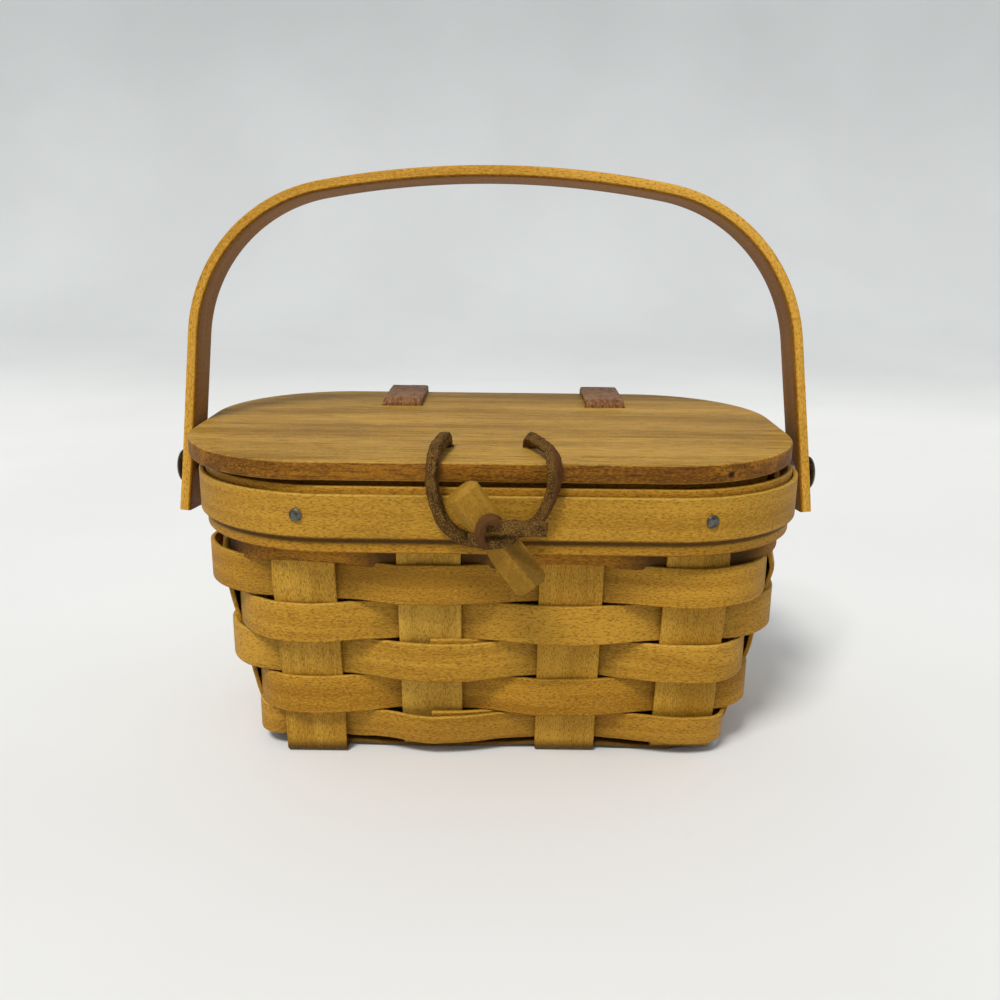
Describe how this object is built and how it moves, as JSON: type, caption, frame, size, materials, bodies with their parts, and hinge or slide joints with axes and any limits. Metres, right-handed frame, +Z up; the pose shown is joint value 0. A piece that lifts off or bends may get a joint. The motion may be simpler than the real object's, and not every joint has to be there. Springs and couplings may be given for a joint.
{
  "type": "basket purse",
  "caption": "Small woven wood-splint basket purse with a round-cornered mouth, a swinging hoop handle, a hinged wooden lid on leather straps and a lace loop that hooks over a peg.",
  "frame": {"origin": "on the floor, under the middle of the basket, lid and handle, measured without the closure lace and its peg", "axes": "+X to the right along the basket's length, +Y towards the hinged back, +Z up"},
  "size_m": [0.1848, 0.1206, 0.1586],
  "materials": {
    "splint_wood": "satin",
    "band_wood": "satin",
    "handle_wood": "satin",
    "lid_wood": "satin",
    "peg_wood": "satin",
    "strap_leather": "satin",
    "lace_leather": "matte",
    "tack_steel": "satin",
    "washer_steel": "satin",
    "rivet_lacquer": "gloss"
  },
  "bodies": {
    "basket": {"cross_splint_1": "splint_wood", "cross_splint_2": "splint_wood", "cross_splint_3": "splint_wood", "cross_splint_4": "splint_wood", "length_splint_1": "splint_wood", "length_splint_2": "splint_wood", "weaver_row_1": "splint_wood", "weaver_row_2": "splint_wood", "weaver_row_3": "splint_wood", "weaver_row_4": "splint_wood", "weaver_row_5": "splint_wood", "weaver_row_6": "splint_wood", "inner_band": "band_wood", "under_band": "band_wood", "outer_band": "band_wood", "band_tack_front_left": "tack_steel", "band_tack_front_right": "tack_steel", "band_tack_back_left": "tack_steel", "band_tack_back_right": "tack_steel", "handle_rivet_left": "rivet_lacquer", "handle_rivet_right": "rivet_lacquer", "handle_washer_left": "washer_steel", "handle_washer_right": "washer_steel", "rivet_burr_left": "washer_steel", "rivet_burr_right": "washer_steel", "hinge_strap_left": "strap_leather", "hinge_strap_right": "strap_leather", "strap_tack_left": "tack_steel", "strap_tack_right": "tack_steel"},
    "handle": {"handle": "handle_wood"},
    "lid": {"lid": "lid_wood"},
    "loop": {"closure_loop": "lace_leather"},
    "toggle": {"toggle_lace": "lace_leather", "toggle_peg": "peg_wood"}
  },
  "joints": [
    {"name": "lid_open", "type": "hinge", "parent": "basket", "child": "lid", "pos_m": [0, 0.04676, 0.0833], "axis": [-1, 0, 0], "range_deg": [0, 105], "deforming": ["hinge_strap_left", "hinge_strap_right"]},
    {"name": "handle_swing", "type": "hinge", "parent": "basket", "child": "handle", "pos_m": [0, -0.00284, 0.07455], "axis": [1, 0, 0], "range_deg": [-115, 116]},
    {"name": "loop_lift", "type": "hinge", "parent": "lid", "child": "loop", "pos_m": [-0.002, -0.03386, 0.0874], "axis": [-1, 0, 0], "range_deg": [0, 120], "deforming": ["closure_loop"]},
    {"name": "toggle_turn", "type": "hinge", "parent": "basket", "child": "toggle", "pos_m": [-0.001, -0.05, 0.07425], "axis": [0, 1, 0], "range_deg": [-90, 90]}
  ],
  "couplings": [
    {"joint": "handle_swing", "follows": "lid_open", "ratio": 1.1}
  ]
}
